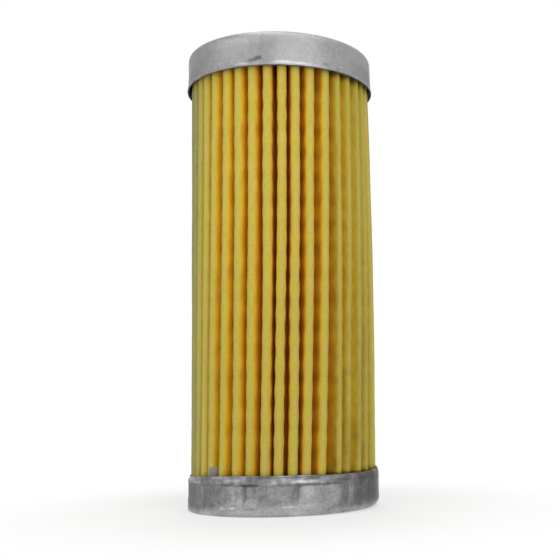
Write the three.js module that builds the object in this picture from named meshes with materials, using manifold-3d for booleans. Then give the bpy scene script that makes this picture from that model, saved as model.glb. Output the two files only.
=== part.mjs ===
// Fuel filter element for a small diesel engine: pleated paper between two drawn tinplate end caps.
// Millimetres, +Z up, origin at the centre of the bottom cap's flat face. The outlet is at the top.
// The paper's seam is at the back, next to +Y.
import * as THREE from "three";
import { mergeVertices } from "three/addons/utils/BufferGeometryUtils.js";
import Module from "manifold-3d";

const wasm = await Module();
wasm.setup();

// Driving dimensions of the whole element
const overallHeight = 83.5;
const capRadius = 17.25;

// Tinplate end caps
const sheet = 0.3;
const topSkirt = 6.8;
const bottomSkirt = 7.0;
const cornerRadius = 1.5;
const lipFlare = 0.25;
const lipFlareHeight = 1.2;
const rimTuck = 0.15; // how far the bottom cap's rim is turned in
const rimTuckHeight = 1.2;

// Outlet in the top cap: a sunk seat, and a collar turned down into the centre tube
const seatRadius = 10.5;
const seatDepth = 1.4;
const collarLength = 3.6;

// Spring socket in the bottom cap
const socketDepth = 4.8;

// Perforated centre tube
const tubeBoreRadius = 7.1;
const tubeWall = 0.4;
const tubeHoleRadius = 1.6;
const tubeHoleRows = 11;
const tubeHolesRound = 6;
const tubeEndMargin = 10;

// Pleated paper
const pleatCount = 40;
const seamDirection = 88.6; // degrees anticlockwise from +X
const paper = 0.36;
const tipFoldRadius = 0.65; // at the middle of the paper's thickness
const seamLength = 4.2; // how far in the seam's two plies are glued
const seamThickness = 0.3;
const seamSetBack = 0.5; // the seam's plies end this far inside the pleat tips

// Potting adhesive
const topPottingDepth = 2.6;
const bottomPottingDepth = 1.7;
const pottingClimb = 1.2; // how far it climbs round the paper
const pottingRim = 0.15; // thickness of what climbs outside the paper
const pottingCore = 0.4; // thickness of what climbs between the paper and the tube

// Rubber grommet in the outlet
const grommetBoreRadius = 5.1;
const flangeThickness = 1.0;
const flangeClearance = 0.55; // from the flange to the seat's wall
const beadLength = 1.0; // the swelling under the collar that keeps the grommet in

// Clearances
const bond = 0.05; // between pieces that are glued or seated on each other
const slip = 0.15; // between the tube and what stands inside it

// Facets of a full turn, and of the folds
const facets = 48;
const tubeFacets = 24;
const holeFacets = 8;
const cornerFacets = 4;
const tipFacets = 6;
const foldFacets = 4;
const creaseFacets = 2;

// Sizes that follow
const capInside = capRadius - sheet;
const collarOutside = tubeBoreRadius - slip;
const collarBore = collarOutside - sheet;
const tubeOutside = tubeBoreRadius + tubeWall;
const mediaOutside = capInside - bond - pottingRim - bond;
const mediaInside = tubeOutside + bond + pottingCore + bond;
const mediaBottom = sheet + bottomPottingDepth;
const mediaTop = overallHeight - sheet - topPottingDepth;
const seatFloor = overallHeight - seatDepth;

const turn = 2 * Math.PI;
const pitchAngle = turn / pleatCount;
const seamAngle = THREE.MathUtils.degToRad(seamDirection);

const finish = {
  tinplate: { color: 0xb4b4b6, roughness: 0.42, metalness: 0.9 },
  paper: { color: 0xc9b452, roughness: 0.9, metalness: 0 },
  potting: { color: 0x8b8c8e, roughness: 0.7, metalness: 0 },
  rubber: { color: 0x1d1d1f, roughness: 0.8, metalness: 0 },
  glue: { color: 0xb98b3c, roughness: 0.6, metalness: 0 },
};

// Radius of a polygon's corners when its flats stand clear of a round thing of this radius
function roundTheOutside(radius) {
  return radius / Math.cos(Math.PI / facets);
}

// Points of an arc about (x, y), from one angle to another in degrees, ends included
function arc(x, y, radius, from, to, steps) {
  return Array.from({ length: steps + 1 }, (_, i) => {
    const angle = THREE.MathUtils.degToRad(from + ((to - from) * i) / steps);
    return [x + radius * Math.cos(angle), y + radius * Math.sin(angle)];
  });
}

// Solid of revolution about Z from a closed outline of [radius, height] points, anticlockwise
function revolve(outline, segments = facets) {
  const points = [...outline, outline[0]].map(([r, z]) => new THREE.Vector2(r, z));
  return new THREE.LatheGeometry(points, segments).rotateX(Math.PI / 2);
}

// Manifold solid of a closed geometry
function solid(geometry) {
  geometry.deleteAttribute("normal");
  geometry.deleteAttribute("uv");
  const merged = mergeVertices(geometry);
  return new wasm.Manifold(
    new wasm.Mesh({
      numProp: 3,
      vertProperties: merged.attributes.position.array,
      triVerts: new Uint32Array(merged.index.array),
    }),
  );
}

// three.js geometry of a manifold solid
function geometryOf(shape) {
  const mesh = shape.getMesh();
  const geometry = new THREE.BufferGeometry();
  geometry.setAttribute("position", new THREE.BufferAttribute(mesh.vertProperties, 3));
  geometry.setIndex(new THREE.BufferAttribute(mesh.triVerts, 1));
  geometry.computeVertexNormals();
  return geometry;
}

function piece(name, geometry, look) {
  const mesh = new THREE.Mesh(geometry, new THREE.MeshStandardMaterial(look));
  mesh.name = name;
  return mesh;
}

// Top cap: a cup with its mouth down, flared at the lip, sunk round the outlet, with a collar inside
function topEndCap() {
  const lip = overallHeight - topSkirt;
  const corner = overallHeight - cornerRadius;
  const outline = [
    [capInside + lipFlare, lip],
    [capRadius + lipFlare, lip],
    [capRadius, lip + lipFlareHeight],
    ...arc(capRadius - cornerRadius, corner, cornerRadius, 0, 90, cornerFacets),
    [seatRadius + sheet, overallHeight],
    [seatRadius, overallHeight - sheet],
    [seatRadius, seatFloor],
    [collarBore + sheet, seatFloor],
    [collarBore, seatFloor - sheet],
    [collarBore, seatFloor - collarLength],
    [collarOutside, seatFloor - collarLength],
    [collarOutside, seatFloor - sheet],
    [seatRadius + sheet, seatFloor - sheet],
    [seatRadius + sheet, overallHeight - sheet],
    ...arc(capRadius - cornerRadius, corner, cornerRadius - sheet, 90, 0, cornerFacets),
    [capInside, lip + lipFlareHeight],
  ];
  return piece("top_end_cap", revolve(outline), finish.tinplate);
}

// Bottom cap: a closed cup with its mouth up, its rim turned in, with a socket for the bowl's spring
function bottomEndCap() {
  const outline = [
    [0, socketDepth],
    [collarBore, socketDepth],
    [collarBore, 0],
    ...arc(capRadius - cornerRadius, cornerRadius, cornerRadius, 270, 360, cornerFacets),
    [capRadius, bottomSkirt - rimTuckHeight],
    [capRadius - rimTuck, bottomSkirt],
    [capInside - rimTuck, bottomSkirt],
    [capInside, bottomSkirt - rimTuckHeight],
    ...arc(capRadius - cornerRadius, cornerRadius, cornerRadius - sheet, 360, 270, cornerFacets),
    [collarOutside, sheet],
    [collarOutside, socketDepth + sheet],
    [0, socketDepth + sheet],
  ];
  return piece("bottom_end_cap", revolve(outline), finish.tinplate);
}

// A point of the paper's outline: u outwards along the plane at an angle, v square to it
function pointAt(angle, u, v) {
  return new THREE.Vector2(
    u * Math.cos(angle) - v * Math.sin(angle),
    u * Math.sin(angle) + v * Math.cos(angle),
  );
}

// One face of the folded sheet, from one seam ply to the other. The side is 1 for the face that
// looks outwards and -1 for the face that looks at the tube.
function mediaFace(side) {
  const half = (side * paper) / 2;
  const tipCentre = mediaOutside - paper / 2 - tipFoldRadius;
  const inwardFoldRadius = (mediaInside * pitchAngle) / 4;
  const foldCentre = mediaInside + paper / 2 + inwardFoldRadius;
  const seamEnd = mediaOutside - seamSetBack;
  const seamPly = seamThickness / 2 + paper / 2 + half;
  const tipSteps = side > 0 ? tipFacets : foldFacets;
  const foldSteps = side > 0 ? creaseFacets : foldFacets;
  const points = [pointAt(seamAngle, seamEnd, seamPly)];
  for (let i = 0; i < pleatCount; i += 1) {
    const foldAngle = seamAngle + (i + 0.5) * pitchAngle;
    const tipAngle = foldAngle + pitchAngle / 2;
    for (const [u, v] of arc(foldCentre, 0, inwardFoldRadius - half, -90, -270, foldSteps)) {
      points.push(pointAt(foldAngle, u, v));
    }
    if (i === pleatCount - 1) {
      break;
    }
    for (const [u, v] of arc(tipCentre, 0, tipFoldRadius + half, -90, 90, tipSteps)) {
      points.push(pointAt(tipAngle, u, v));
    }
  }
  points.push(pointAt(seamAngle, seamEnd, -seamPly));
  return points;
}

// The pleated sheet: its outer face, and back along its inner face
function pleatedMedia() {
  const outline = [...mediaFace(1), ...mediaFace(-1).reverse()];
  const geometry = new THREE.ExtrudeGeometry(new THREE.Shape(outline), {
    depth: mediaTop - mediaBottom,
    bevelEnabled: false,
  });
  geometry.translate(0, 0, mediaBottom);
  return piece("pleated_media", geometry, finish.paper);
}

// Adhesive between the sheet's two end plies
function seamBond() {
  const thickness = seamThickness - 2 * bond;
  const seamEnd = mediaOutside - seamSetBack;
  const geometry = new THREE.BoxGeometry(seamLength, thickness, mediaTop - mediaBottom);
  geometry.translate(seamEnd - seamLength / 2, 0, (mediaTop + mediaBottom) / 2);
  geometry.rotateZ(seamAngle);
  return piece("seam_bond", geometry, finish.glue);
}

// Perforated tube, its rows of holes staggered by half a hole pitch
function centreTube() {
  const bottom = sheet + bond;
  const top = seatFloor - sheet - bond;
  const wall = [
    [tubeBoreRadius, bottom],
    [tubeOutside, bottom],
    [tubeOutside, top],
    [tubeBoreRadius, top],
  ];
  let tube = solid(revolve(wall, tubeFacets));
  const rowPitch = (top - bottom - 2 * tubeEndMargin) / (tubeHoleRows - 1);
  for (let row = 0; row < tubeHoleRows; row += 1) {
    for (let i = 0; i < tubeHolesRound; i += 1) {
      const hole = new THREE.CylinderGeometry(tubeHoleRadius, tubeHoleRadius, tubeBoreRadius, holeFacets);
      hole.translate(0, tubeOutside, 0);
      hole.rotateZ(((i + (row % 2) / 2) / tubeHolesRound) * turn);
      hole.translate(0, 0, bottom + tubeEndMargin + row * rowPitch);
      tube = tube.subtract(solid(hole));
    }
  }
  return piece("centre_tube", geometryOf(tube), finish.tinplate);
}

// Potting in the bottom cap: a ring with a groove that the paper stands in
function bottomPotting() {
  const underside = sheet + bond;
  const rim = mediaBottom + pottingClimb;
  const corner = cornerRadius;
  const outline = [
    [tubeOutside + bond, underside],
    ...arc(capRadius - cornerRadius, corner, cornerRadius - sheet - bond, 270, 360, cornerFacets),
    [capInside - bond, rim],
    [roundTheOutside(mediaOutside + bond / 2), rim],
    [roundTheOutside(mediaOutside + bond / 2), mediaBottom],
    [mediaInside - bond, mediaBottom],
    [mediaInside - bond, rim],
    [tubeOutside + bond, rim],
  ];
  return piece("bottom_potting", revolve(outline), finish.potting);
}

// Potting in the top cap, thinner under the sunk seat
function topPotting() {
  const overside = overallHeight - sheet - bond;
  const rim = mediaTop - pottingClimb;
  const corner = overallHeight - cornerRadius;
  const step = seatRadius + sheet + bond;
  const outline = [
    [tubeOutside + bond, rim],
    [mediaInside - bond, rim],
    [mediaInside - bond, mediaTop],
    [roundTheOutside(mediaOutside + bond / 2), mediaTop],
    [roundTheOutside(mediaOutside + bond / 2), rim],
    [capInside - bond, rim],
    ...arc(capRadius - cornerRadius, corner, cornerRadius - sheet - bond, 0, 90, cornerFacets),
    [step, overside],
    [step, seatFloor - sheet - bond],
    [tubeOutside + bond, seatFloor - sheet - bond],
  ];
  return piece("top_potting", revolve(outline), finish.potting);
}

// Rubber grommet: a flange in the seat, a neck through the collar and a bead that snaps under it
function outletGrommet() {
  const neck = collarBore - bond;
  const bead = collarOutside - bond;
  const collarEnd = seatFloor - collarLength - bond;
  const flangeBottom = seatFloor + bond;
  const flangeOutside = seatRadius - flangeClearance;
  const outline = [
    [grommetBoreRadius, collarEnd - beadLength],
    [neck, collarEnd - beadLength],
    [bead, collarEnd - beadLength / 2],
    [bead, collarEnd],
    [neck, collarEnd],
    [neck, flangeBottom],
    [flangeOutside, flangeBottom],
    [flangeOutside, flangeBottom + flangeThickness],
    [grommetBoreRadius, flangeBottom + flangeThickness],
  ];
  return piece("outlet_grommet", revolve(outline), finish.rubber);
}

const element = new THREE.Group();
element.add(
  topEndCap(),
  bottomEndCap(),
  pleatedMedia(),
  seamBond(),
  centreTube(),
  topPotting(),
  bottomPotting(),
  outletGrommet(),
);

export default element;
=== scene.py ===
# %% [markdown]
# # A pleated fuel filter element
#
# The real object is a cartridge that drops into the bowl of a small diesel engine's fuel filter. One
# sheet of resin-treated paper is folded into pleats and bent round a perforated tube. Its ends stand
# in adhesive inside two drawn tinplate caps, and a rubber grommet seals the outlet at the top.
#
# The engineering model comes in first, as a frame that nothing here may move. Each new surface is
# worked out with numpy at its real place and stands for one node of that frame.

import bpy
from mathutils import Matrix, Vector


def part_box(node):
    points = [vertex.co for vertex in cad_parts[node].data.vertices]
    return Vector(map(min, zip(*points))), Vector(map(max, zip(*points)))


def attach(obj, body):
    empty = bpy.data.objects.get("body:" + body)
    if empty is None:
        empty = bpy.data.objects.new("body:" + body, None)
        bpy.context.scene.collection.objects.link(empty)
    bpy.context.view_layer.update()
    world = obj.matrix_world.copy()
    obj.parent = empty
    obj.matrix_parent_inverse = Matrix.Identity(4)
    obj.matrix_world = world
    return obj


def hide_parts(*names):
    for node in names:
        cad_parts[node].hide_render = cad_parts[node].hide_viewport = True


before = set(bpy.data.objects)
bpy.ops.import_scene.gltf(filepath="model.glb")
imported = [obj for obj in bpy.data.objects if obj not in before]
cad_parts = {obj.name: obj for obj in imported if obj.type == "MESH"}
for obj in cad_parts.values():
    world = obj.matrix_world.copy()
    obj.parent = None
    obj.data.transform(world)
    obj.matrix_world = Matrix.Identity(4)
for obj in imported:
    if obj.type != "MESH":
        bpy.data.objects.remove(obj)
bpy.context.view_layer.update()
print("frame nodes:", ", ".join(sorted(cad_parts)))

# %% [markdown]
# ## Units and sizes
#
# Blender works in metres, and a part this small is easier to think of in millimetres, so every size
# below is in millimetres and is turned into metres only when a mesh is filled. The main sizes are
# read from the frame's nodes, so that a new frame with other sizes moves the looks along with it.

# %% Units and the sizes of the frame
import math

import bmesh
import bpy
import numpy as np
from mathutils import Matrix

MM = 0.001
TURN = 2 * math.pi


def node_box(name):
    """Lowest and highest corners of a frame node, in millimetres."""
    low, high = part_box(name)
    return np.array(low) / MM, np.array(high) / MM


top_low, top_high = node_box("top_end_cap")
bottom_high = node_box("bottom_end_cap")[1]
paper_low, paper_high = node_box("pleated_media")
tube_low, tube_high = node_box("centre_tube")
grommet_low, grommet_high = node_box("outlet_grommet")

TOP = top_high[2]
LIP = top_low[2]
LIP_RADIUS = top_high[0]
CAP_RADIUS = bottom_high[0]
RIM = bottom_high[2]
PAPER_RADIUS = max(-paper_low[:2].min(), paper_high[:2].max())
TUBE_RADIUS = tube_high[0]
SHEET = 0.3  # thickness of the tinplate of both caps
HALF_SHEET = SHEET / 2
WALL_RADIUS = CAP_RADIUS - HALF_SHEET  # to the middle of the sheet
print(f"element {TOP:.1f} mm tall, caps {2 * CAP_RADIUS:.1f} mm across, lip {2 * LIP_RADIUS:.1f} mm")

# %% [markdown]
# ## The camera
#
# The photograph was taken from close by, a little above the bottom cap and looking up, and it was
# cropped afterwards. Blender says this with a lens and a shift: the shift slides the picture over the
# sensor, as the crop did, and leaves the perspective alone. Distances, angles and the lens come from
# fitting the caps' ellipses and the sides of the element to their places in the photograph.

# %% The camera
PICTURE = 560  # width and height of the photograph, in pixels
LENS_PIXELS = 943.9  # focal length on the scale of those pixels
CENTRE_COLUMN, CENTRE_ROW = 350.7, 282.3  # where the lens's axis meets the picture
CAMERA_DISTANCE, CAMERA_HEIGHT = 175.3, 19.0
YAW, PITCH, ROLL = (math.radians(a) for a in (4.19, 7.07, -1.13))
SENSOR = 36.0  # width, in millimetres

forward = np.array([math.sin(YAW) * math.cos(PITCH), math.cos(YAW) * math.cos(PITCH), math.sin(PITCH)])
level = np.array([math.cos(YAW), -math.sin(YAW), 0.0])
upward = np.cross(level, forward)
right = math.cos(ROLL) * level + math.sin(ROLL) * upward
up = np.cross(right, forward)

camera_data = bpy.data.cameras.new("photo_camera")
camera_data.sensor_width = SENSOR
camera_data.lens = SENSOR * LENS_PIXELS / PICTURE
camera_data.shift_x = (PICTURE / 2 - CENTRE_COLUMN) / PICTURE
camera_data.shift_y = (CENTRE_ROW - PICTURE / 2) / PICTURE
camera_data.clip_start = 0.01
camera = bpy.data.objects.new("photo_camera", camera_data)
camera_place = np.eye(4)
camera_place[:3, :3] = np.stack([right, up, -forward], axis=1)
camera_place[:3, 3] = np.array([0, -CAMERA_DISTANCE, CAMERA_HEIGHT]) * MM
camera.matrix_world = Matrix(camera_place.tolist())
bpy.context.scene.collection.objects.link(camera)
bpy.context.scene.camera = camera
print(f"lens {camera_data.lens:.1f} mm, shift {camera_data.shift_x:.3f}, {camera_data.shift_y:.3f}")

# %% [markdown]
# ## Node helpers
#
# A procedural material is a small graph. These helpers add a node and wire it in one call, so that
# each material below reads like its recipe. Constant values go straight onto a shader's own socket.


# %% Node helpers
def add(tree, kind, settings=None, **inputs):
    """A new node. Settings are its own properties; an input is a value or another node's output."""
    node = tree.nodes.new(kind)
    for name, value in (settings or {}).items():
        setattr(node, name, value)
    for name, value in inputs.items():
        feed(tree, node.inputs[name.replace("_", " ")], value)
    return node


def feed(tree, socket, value):
    """Joins an output to this input, or sets its value."""
    if isinstance(value, bpy.types.NodeSocket):
        tree.links.new(value, socket)
    else:
        socket.default_value = value


def maths(tree, operation, first, second=0.0, clamp=False):
    """The result of one Math node."""
    node = tree.nodes.new("ShaderNodeMath")
    node.operation = operation
    node.use_clamp = clamp
    feed(tree, node.inputs[0], first)
    feed(tree, node.inputs[1], second)
    return node.outputs[0]


def plus(tree, value, other, times):
    """A value plus another one times a number."""
    return maths(tree, "ADD", value, maths(tree, "MULTIPLY", other, times))


def held(tree, value, times=1.0):
    """A value times a number, held between 0 and 1."""
    return maths(tree, "MULTIPLY", value, times, clamp=True)


def mixed(tree, share, first, second, mode="MIX"):
    """Two colours mixed: the first where share is 0, the second where it is 1."""
    node = add(tree, "ShaderNodeMix", {"data_type": "RGBA", "blend_type": mode})
    feed(tree, node.inputs[0], share)
    feed(tree, node.inputs[6], first)
    feed(tree, node.inputs[7], second)
    return node.outputs[2]


def toned(tree, colour, tone):
    """A colour made darker or lighter by a factor."""
    grey = add(tree, "ShaderNodeCombineColor", Red=tone, Green=tone, Blue=tone).outputs[0]
    return mixed(tree, 1.0, colour, grey, "MULTIPLY")


def attribute(tree, name):
    """The number that the mesh carries for each point under this name."""
    return add(tree, "ShaderNodeAttribute", {"attribute_name": name}).outputs["Fac"]


def spread(tree, value, low, high, to_low=0.0, to_high=1.0):
    """Value carried smoothly from low..high to to_low..to_high, and held outside."""
    node = add(tree, "ShaderNodeMapRange", {"interpolation_type": "SMOOTHSTEP"}, Value=value)
    for name, number in zip(("From Min", "From Max", "To Min", "To Max"), (low, high, to_low, to_high)):
        node.inputs[name].default_value = number
    return node.outputs["Result"]


def noise(tree, place, size, stretch=(1, 1, 1), detail=3.0, roughness=0.55, distortion=0.0):
    """Noise with lumps about this many millimetres across, longer along an axis with a stretch over 1."""
    mapping = add(tree, "ShaderNodeMapping", Vector=place)
    mapping.inputs["Scale"].default_value = tuple(1 / s for s in stretch)
    texture = add(
        tree, "ShaderNodeTexNoise", Vector=mapping.outputs[0], Scale=1 / (size * MM),
        Detail=detail, Roughness=roughness, Distortion=distortion,
    )
    return texture.outputs["Fac"]


def start_material(name):
    """A material with a Principled shader and the object's own coordinates."""
    material = bpy.data.materials.new(name)
    material.use_nodes = True
    tree = material.node_tree
    shader = next(n for n in tree.nodes if n.type == "BSDF_PRINCIPLED")
    place = add(tree, "ShaderNodeTexCoord").outputs["Object"]
    return material, tree, shader, place


def bump(tree, shader, height, depth, strength=1.0):
    """Bump this many millimetres deep where height goes from 0 to 1."""
    node = add(tree, "ShaderNodeBump", Height=height, Strength=strength, Distance=depth * MM)
    tree.links.new(node.outputs["Normal"], shader.inputs["Normal"])


print("node helpers are ready")

# %% [markdown]
# ## Tinplate
#
# Tinplate is thin steel with a skin of tin. It is a metal, so its colour lives in its reflections,
# and on a worn cap these are blurred and uneven: the tin is drawn into fine vertical streaks by the
# press and dulled in patches. A single grey metal would look like chrome or like plastic, so colour
# and roughness follow noise. Grime and rubbed edges are known to the mesh, which passes them on as the
# attribute wear_and_painted_light, together with painted shade in the creases and at the ends and
# painted highlights and reflections on the edges, ridges and facets.


# %% Tinplate
# The colour of grime and of painted shade, and that of rubbed tin and of painted highlights
GRIME_AND_PAINTED_SHADE = (0.055, 0.055, 0.057)
BARE_TIN_AND_PAINTED_HIGHLIGHT = (0.62, 0.62, 0.63)


def tinplate(name, base, worn, patches, streaks, mottle, roughness):
    """Worn tinplate between two greys. Patches, streaks and mottle say how strongly each shows.

    The attribute wear_and_painted_light runs from -1, grime and painted shade, to 1, rubbed bright tin
    and painted highlights, and a fine speckle makes it ragged."""
    material, tree, shader, place = start_material(name)
    blotch = noise(tree, place, 5.0, stretch=(1, 1, 1.4), detail=4, distortion=0.6)
    streak = noise(tree, place, 0.7, stretch=(1, 1, 14), detail=3)
    speck = noise(tree, place, 0.4, detail=3, roughness=0.65)
    grain = noise(tree, place, 0.16, detail=2)
    peel = noise(tree, place, 1.1, detail=3)
    patch = spread(tree, blotch, 0.5 - 0.35 / patches, 0.5 + 0.35 / patches, 0.0, 1 - streaks)
    lines = spread(tree, streak, 0.28, 0.72, 0.0, streaks)
    colour = mixed(tree, maths(tree, "ADD", patch, lines), (*base, 1), (*worn, 1))
    tone = spread(tree, speck, 0.3, 0.7, 1 - mottle, 1 + 0.8 * mottle)
    tone = maths(tree, "MULTIPLY", tone, spread(tree, peel, 0.32, 0.68, 1 - mottle, 1 + 0.8 * mottle))
    colour = toned(tree, colour, tone)
    ragged = spread(tree, speck, 0.32, 0.68, 0.78, 1.22)
    wear_and_painted_light = maths(tree, "MULTIPLY", attribute(tree, "wear_and_painted_light"), ragged)
    grime_and_painted_shade = held(tree, wear_and_painted_light, -1.0)
    colour = mixed(tree, grime_and_painted_shade, colour, (*GRIME_AND_PAINTED_SHADE, 1))
    colour = mixed(tree, held(tree, wear_and_painted_light), colour, (*BARE_TIN_AND_PAINTED_HIGHLIGHT, 1))
    feed(tree, shader.inputs["Base Color"], colour)
    feed(tree, shader.inputs["Metallic"], maths(tree, "SUBTRACT", 1.0, grime_and_painted_shade, clamp=True))
    dull = plus(tree, roughness - 0.09, peel, 0.18)
    feed(tree, shader.inputs["Roughness"], plus(tree, dull, grime_and_painted_shade, 0.3))
    relief = plus(tree, maths(tree, "MULTIPLY", grain, 0.25), peel, 0.6)
    bump(tree, shader, maths(tree, "ADD", relief, lines), depth=0.03, strength=0.6)
    return material


top_tinplate = tinplate(
    "tinplate_top", base=(0.31, 0.31, 0.315), worn=(0.25, 0.25, 0.255),
    patches=1.0, streaks=0.1, mottle=0.08, roughness=0.46,
)
# The bottom cap's tinplate is a darker, more mottled copy of the top's: the darkness is painted shade.
bottom_tinplate_painted_darker = tinplate(
    "tinplate_bottom_painted_shade", base=(0.25, 0.25, 0.253), worn=(0.155, 0.155, 0.158),
    patches=1.2, streaks=0.15, mottle=0.19, roughness=0.44,
)
tube_tinplate = tinplate(
    "tinplate_tube", base=(0.48, 0.48, 0.49), worn=(0.34, 0.34, 0.35),
    patches=1.0, streaks=0.3, mottle=0.08, roughness=0.4,
)
print("tinplate:", top_tinplate.name, bottom_tinplate_painted_darker.name, tube_tinplate.name)

# %% [markdown]
# ## Filter paper
#
# The paper is cellulose felt stiffened with a yellow phenolic resin. Close up it is matt and fibrous,
# with paler and greener clouds where the resin is thinner. Between the pleats light bounces from
# yellow wall to yellow wall, and each bounce makes it more orange. The renderer does that by itself,
# and a tint towards the inner folds, where the resin gathers, carries it on as painted bounce light.
# Dust, fuel stains and painted shade and sheen lie where the mesh says, in the attribute
# soiling_and_painted_shade. At the right some folds have light coming through the paper, which is
# painted as a gilded colour, and the attribute lit_through says how much.


# %% Filter paper
GREENER, WARMER = (0.53, 0.475, 0.078, 1), (0.61, 0.468, 0.104, 1)  # clouds of the outer folds
# amber towards the inner folds, as resin and painted bounce light
GOLDEN, DEEP_GOLDEN = (0.82, 0.505, 0.018, 1), (0.97, 0.49, 0.002, 1)
RUSTY, DEEP_RUSTY = (0.71, 0.365, 0.010, 1), (0.92, 0.385, 0.002, 1)  # where the resin is thicker
GILDED = (0.90, 0.69, 0.03, 1)  # lit through
# dust, with painted grazing sheen and shade at the sides; fuel stains, with painted shade
DUST_AND_PAINTED_SHEEN, FUEL_AND_PAINTED_SHADE = (0.16, 0.24, 0.15, 1), (0.15, 0.10, 0.012, 1)


def filter_paper():
    """Resin-treated paper with a fibre bump.

    The outer folds are pale, with greener and warmer specks. Over the first half millimetre of the
    attribute fold_depth the colour turns amber, and it reddens slowly towards the inner folds, as resin
    and painted bounce light. The attribute soiling_and_painted_shade runs from -1, grey with dust and
    painted sheen and shade, to 1, brown with fuel and painted shade."""
    material, tree, shader, place = start_material("filter_paper")
    cloud = noise(tree, place, 1.5, stretch=(1, 1, 1.8), detail=3, distortion=0.5)
    resin = noise(tree, place, 2.2, stretch=(1, 1, 2.2), detail=3)
    fleck = noise(tree, place, 0.45, detail=3)
    fibre = noise(tree, place, 0.14, stretch=(1, 1, 1.6), detail=3, roughness=0.7)
    depth = attribute(tree, "fold_depth")
    pale = mixed(tree, spread(tree, cloud, 0.35, 0.65), GREENER, WARMER)
    pale = toned(tree, pale, spread(tree, fleck, 0.3, 0.7, 0.93, 1.05))
    deep = spread(tree, depth, 0.8, 3.5)
    golden = mixed(tree, deep, GOLDEN, DEEP_GOLDEN)
    rusty = mixed(tree, deep, RUSTY, DEEP_RUSTY)
    amber = mixed(tree, spread(tree, resin, 0.40, 0.68), golden, rusty)
    colour = mixed(tree, spread(tree, depth, 0.0, 0.6), pale, amber)
    colour = mixed(tree, attribute(tree, "lit_through"), colour, GILDED)
    cloudy = spread(tree, cloud, 0.32, 0.68, 0.8, 1.2)
    soiling_and_painted_shade = maths(tree, "MULTIPLY", attribute(tree, "soiling_and_painted_shade"), cloudy)
    colour = mixed(tree, held(tree, soiling_and_painted_shade, -1.0), colour, DUST_AND_PAINTED_SHEEN)
    colour = mixed(tree, held(tree, soiling_and_painted_shade), colour, FUEL_AND_PAINTED_SHADE)
    feed(tree, shader.inputs["Base Color"], colour)
    shader.inputs["Roughness"].default_value = 0.88
    shader.inputs["Specular IOR Level"].default_value = 0.1
    shader.inputs["Sheen Weight"].default_value = 0.03
    shader.inputs["Sheen Roughness"].default_value = 0.5
    bump(tree, shader, fibre, depth=0.035, strength=0.7)
    return material


paper_material = filter_paper()
print("paper:", paper_material.name)

# %% [markdown]
# ## Adhesive, rubber and glue
#
# The other materials are dull and cast or moulded, so one recipe with other colours makes them all.
# The potting is a grey casting adhesive. Where it is smeared out thin, the paper shows through, and the
# attribute thinness says how much. The grommet is black nitrile rubber with a dusty bloom, and the
# strip in the paper's seam is amber glue.


# %% Adhesive, rubber and glue
def plain_stuff(name, light, dark, size, roughness, depth, beneath=None):
    """A dull moulded or cast material: two tones in soft clouds, over a shallow bump.

    Size is that of the clouds, in millimetres. A colour beneath shows through as far as the attribute
    thinness says, from 0 to 1."""
    material, tree, shader, place = start_material(name)
    cloud = noise(tree, place, size, detail=4, distortion=0.4)
    grain = noise(tree, place, size / 8, detail=3)
    colour = mixed(tree, spread(tree, cloud, 0.3, 0.7), (*dark, 1), (*light, 1))
    if beneath:
        colour = mixed(tree, attribute(tree, "thinness"), colour, (*beneath, 1))
    feed(tree, shader.inputs["Base Color"], colour)
    feed(tree, shader.inputs["Roughness"], plus(tree, roughness - 0.06, grain, 0.12))
    bump(tree, shader, plus(tree, cloud, grain, 0.4), depth, strength=0.6)
    return material


potting_look = {
    "light": (0.26, 0.225, 0.165), "dark": (0.19, 0.165, 0.12),
    "size": 1.6, "roughness": 0.55, "depth": 0.05,
}
potting_material = plain_stuff("potting", **potting_look)
smear_material = plain_stuff("potting_smear", **potting_look, beneath=(0.34, 0.34, 0.10))
rubber_material = plain_stuff(
    "rubber", light=(0.035, 0.035, 0.037), dark=(0.018, 0.018, 0.019), size=2.4, roughness=0.62, depth=0.02,
)
glue_material = plain_stuff(
    "seam_glue", light=(0.42, 0.25, 0.07), dark=(0.30, 0.16, 0.04), size=1.8, roughness=0.35, depth=0.03,
)
soft_materials = potting_material, smear_material, rubber_material, glue_material
print("soft materials:", ", ".join(material.name for material in soft_materials))

# %% [markdown]
# ## Mesh helpers
#
# Every surface below is a grid: rows along one parameter and columns along another. The grid's points
# are whole arrays, and only the last step hands them to Blender.


# %% Mesh helpers
def around_axis(radius, angle, height):
    """Points (radius cos angle, radius sin angle, height)."""
    x, y = radius * np.cos(angle), radius * np.sin(angle)
    return np.stack([x, y, height + 0 * x], axis=-1)


def polar(points):
    """The angle of points round the axis, and their distance from it."""
    return np.arctan2(points[..., 1], points[..., 0]), np.hypot(points[..., 0], points[..., 1])


def grid_quads(rows, columns, loop_rows=False, loop_columns=True, first=0):
    """Corner numbers of a grid's quads. Points are stored row by row, and a looped side joins its ends."""
    row = np.arange(rows if loop_rows else rows - 1)[:, None]
    column = np.arange(columns if loop_columns else columns - 1)[None, :]
    next_row, next_column = (row + 1) % rows, (column + 1) % columns
    corners = [
        row * columns + column,
        row * columns + next_column,
        next_row * columns + next_column,
        next_row * columns + column,
    ]
    quads = np.stack([np.broadcast_to(c, (row.size, column.size)) for c in corners], axis=-1)
    return quads.reshape(-1, 4) + first


def weld(mesh):
    """Merges points that lie in one place, such as a pole's or a seam's."""
    shape = bmesh.new()
    shape.from_mesh(mesh)
    bmesh.ops.remove_doubles(shape, verts=shape.verts, dist=0.0005 * MM)
    shape.to_mesh(mesh)
    shape.free()


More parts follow.
